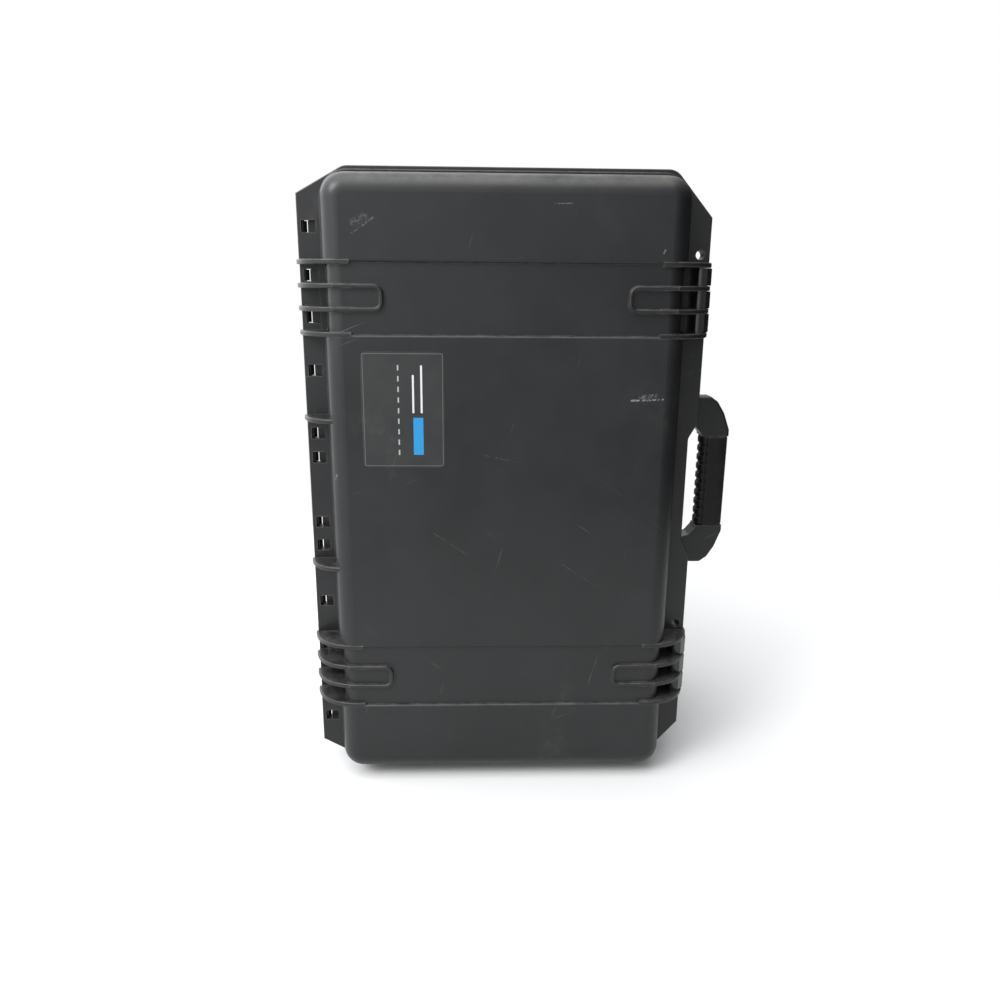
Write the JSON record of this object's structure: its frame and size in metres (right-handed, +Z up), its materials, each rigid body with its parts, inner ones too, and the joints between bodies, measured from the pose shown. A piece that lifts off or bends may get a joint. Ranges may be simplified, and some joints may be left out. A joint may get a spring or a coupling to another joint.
{
  "type": "rolling hard case",
  "caption": "Upright rolling hard case with hinged lid, press latches, folding carry handle, pull-out trolley handle, wheels, seal and foam inserts.",
  "frame": {"origin": "middle of the footprint, on the ground the case stands on", "axes": "+Z up the long way of the case, -Y out of the lid face, +X towards the latches and the carry handle"},
  "size_m": [0.3908, 0.2364, 0.5545],
  "materials": {
    "shell": "moulded polymer, fine matte texture",
    "latch": "smooth semi-gloss moulding",
    "grip": "soft overmould",
    "seal": "closed-cell rubber",
    "foam": "open-cell foam",
    "label": "printed film",
    "steel": "stainless",
    "tube": "anodised",
    "hub": "moulded polymer",
    "tyre": "solid tyre",
    "bronze": "sintered bush"
  },
  "bodies": {
    "base": {"base_floor_pad": "foam", "base_foam": "foam", "base_shell": "shell", "foot_screws": "steel", "handle_pins": "steel", "hinge_rod_lower": "steel", "hinge_rod_upper": "steel", "standing_feet": "grip", "trolley_bottom_bracket": "shell", "trolley_outer_tube_left": "tube", "trolley_outer_tube_right": "tube", "trolley_screws": "steel", "trolley_top_collar": "shell", "valve_body": "latch", "valve_cap": "latch", "valve_nut": "latch", "valve_seal": "seal", "wheel_axle_left": "steel", "wheel_axle_right": "steel"},
    "lid": {"lid_shell": "shell", "lid_gasket": "seal", "lid_foam": "foam", "label_sticker": "label", "latch_upper_pin": "steel", "latch_lower_pin": "steel"},
    "latch_upper": {"latch_upper": "latch", "latch_upper_trigger_pin": "steel"},
    "latch_lower": {"latch_lower": "latch", "latch_lower_trigger_pin": "steel"},
    "latch_upper_trigger": {"latch_upper_trigger": "latch"},
    "latch_lower_trigger": {"latch_lower_trigger": "latch"},
    "handle": {"handle_frame": "shell", "handle_grip": "grip"},
    "trolley": {"trolley_inner_tube_left": "tube", "trolley_inner_tube_right": "tube", "trolley_tube_plugs": "shell", "trolley_grip": "shell"},
    "trolley_button": {"trolley_button": "latch", "trolley_pull_rods": "steel"},
    "lock_pin_left": {"trolley_lock_pin_left": "steel"},
    "lock_pin_right": {"trolley_lock_pin_right": "steel"},
    "wheel_left": {"wheel_hub_left": "hub", "wheel_tyre_left": "tyre", "wheel_bush_left": "bronze"},
    "wheel_right": {"wheel_hub_right": "hub", "wheel_tyre_right": "tyre", "wheel_bush_right": "bronze"}
  },
  "joints": [
    {"name": "lid_hinge", "type": "hinge", "parent": "base", "child": "lid", "pos_m": [-0.19035, -0.0761, 0.2785], "axis": [0, 0, -1], "range_deg": [0, 105]},
    {"name": "latch_upper_hinge", "type": "hinge", "parent": "lid", "child": "latch_upper", "pos_m": [0.14685, -0.0921, 0.4482], "axis": [0, 0, -1], "range_deg": [0, 95]},
    {"name": "latch_lower_hinge", "type": "hinge", "parent": "lid", "child": "latch_lower", "pos_m": [0.14685, -0.0921, 0.1088], "axis": [0, 0, -1], "range_deg": [0, 95]},
    {"name": "latch_upper_trigger_press", "type": "hinge", "parent": "latch_upper", "child": "latch_upper_trigger", "pos_m": [0.15495, -0.0605, 0.4482], "axis": [0, 0, 1], "range_deg": [0, 7], "stiffness_Nm_per_rad": 0.15, "springref_deg": -8.59},
    {"name": "latch_lower_trigger_press", "type": "hinge", "parent": "latch_lower", "child": "latch_lower_trigger", "pos_m": [0.15495, -0.0605, 0.1088], "axis": [0, 0, 1], "range_deg": [0, 7], "stiffness_Nm_per_rad": 0.15, "springref_deg": -8.59},
    {"name": "handle_fold", "type": "hinge", "parent": "base", "child": "handle", "pos_m": [0.14685, -0.0421, 0.2785], "axis": [0, 0, 1], "range_deg": [0, 88]},
    {"name": "trolley_slide", "type": "slide", "parent": "base", "child": "trolley", "axis": [0, 0, 1], "range_m": [0, 0.38]},
    {"name": "trolley_button_press", "type": "slide", "parent": "trolley", "child": "trolley_button", "axis": [0, 0, -1], "range_m": [0, 0.003], "stiffness_N_per_m": 900, "springref_m": -0.003},
    {"name": "lock_pin_left_slide", "type": "slide", "parent": "trolley", "child": "lock_pin_left", "axis": [-1, 0, 0], "range_m": [0, 0.0015]},
    {"name": "lock_pin_right_slide", "type": "slide", "parent": "trolley", "child": "lock_pin_right", "axis": [1, 0, 0], "range_m": [0, 0.0015]},
    {"name": "wheel_left_spin", "type": "hinge", "parent": "base", "child": "wheel_left", "pos_m": [-0.14915, 0.0942, 0.024], "axis": [1, 0, 0], "continuous": true},
    {"name": "wheel_right_spin", "type": "hinge", "parent": "base", "child": "wheel_right", "pos_m": [0.11085, 0.0942, 0.024], "axis": [1, 0, 0], "continuous": true}
  ],
  "couplings": [
    {"joint": "lock_pin_left_slide", "follows": "trolley_button_press", "ratio": 0.5},
    {"joint": "lock_pin_right_slide", "follows": "trolley_button_press", "ratio": 0.5}
  ]
}
